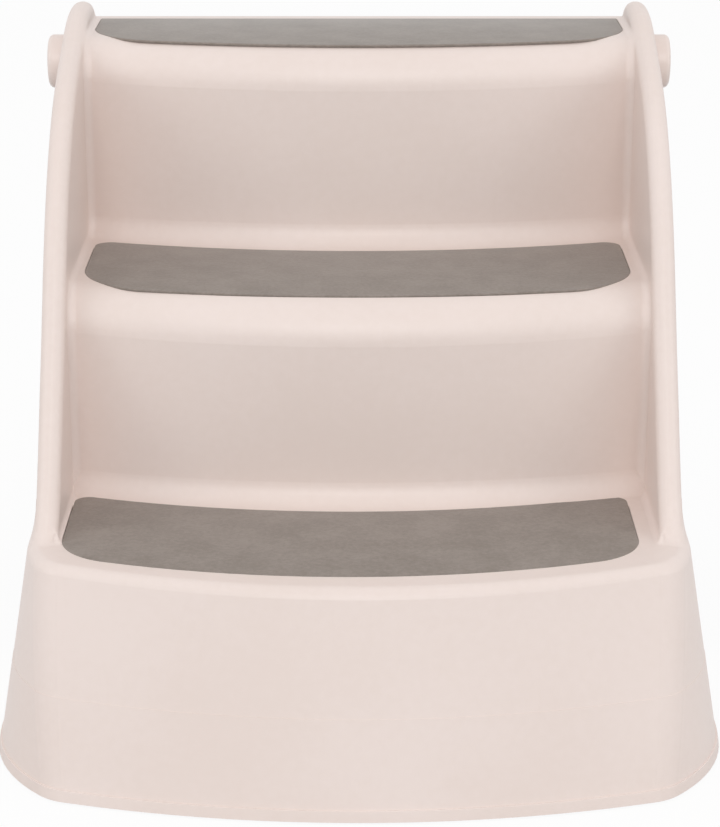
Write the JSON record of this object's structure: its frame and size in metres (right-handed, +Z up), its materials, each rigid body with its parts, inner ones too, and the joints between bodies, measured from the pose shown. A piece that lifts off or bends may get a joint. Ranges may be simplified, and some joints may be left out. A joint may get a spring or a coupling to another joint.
{
  "type": "folding pet stairs",
  "caption": "Folding plastic pet stairs with bowed treads, rubber mats, raised side cheeks, a flared base and a rear leg frame that folds in.",
  "frame": {"origin": "on the floor, at the centre of the opened object's length and width", "axes": "+Z up, the stairs climb towards +Y and face -Y, +X is the right-hand side as one climbs"},
  "size_m": [0.4064, 0.45, 0.3768],
  "materials": {
    "moulded_plastic": "satin warm beige moulding",
    "knob_plastic": "satin warm beige",
    "mat_rubber": "fine matt texture, warm grey",
    "foot_rubber": "matt warm grey",
    "zinc_steel": "zinc plated"
  },
  "bodies": {
    "stairs": {"stair_body": "moulded_plastic", "tread_mat_lower": "mat_rubber", "tread_mat_middle": "mat_rubber", "tread_mat_upper": "mat_rubber", "pivot_pin_left": "knob_plastic", "pivot_pin_right": "knob_plastic", "pivot_washer_left": "zinc_steel", "pivot_washer_right": "zinc_steel", "pivot_screw_left": "zinc_steel", "pivot_screw_right": "zinc_steel", "base_foot_front_left": "foot_rubber", "base_foot_front_right": "foot_rubber", "base_foot_rear_left": "foot_rubber", "base_foot_rear_right": "foot_rubber"},
    "rear_leg": {"rear_leg_frame": "moulded_plastic", "leg_shoe_left": "foot_rubber", "leg_shoe_right": "foot_rubber"}
  },
  "joints": [
    {"name": "leg_fold", "type": "hinge", "parent": "stairs", "child": "rear_leg", "pos_m": [0, 0.158, 0.34], "axis": [-1, 0, 0], "range_deg": [0, 34]}
  ]
}
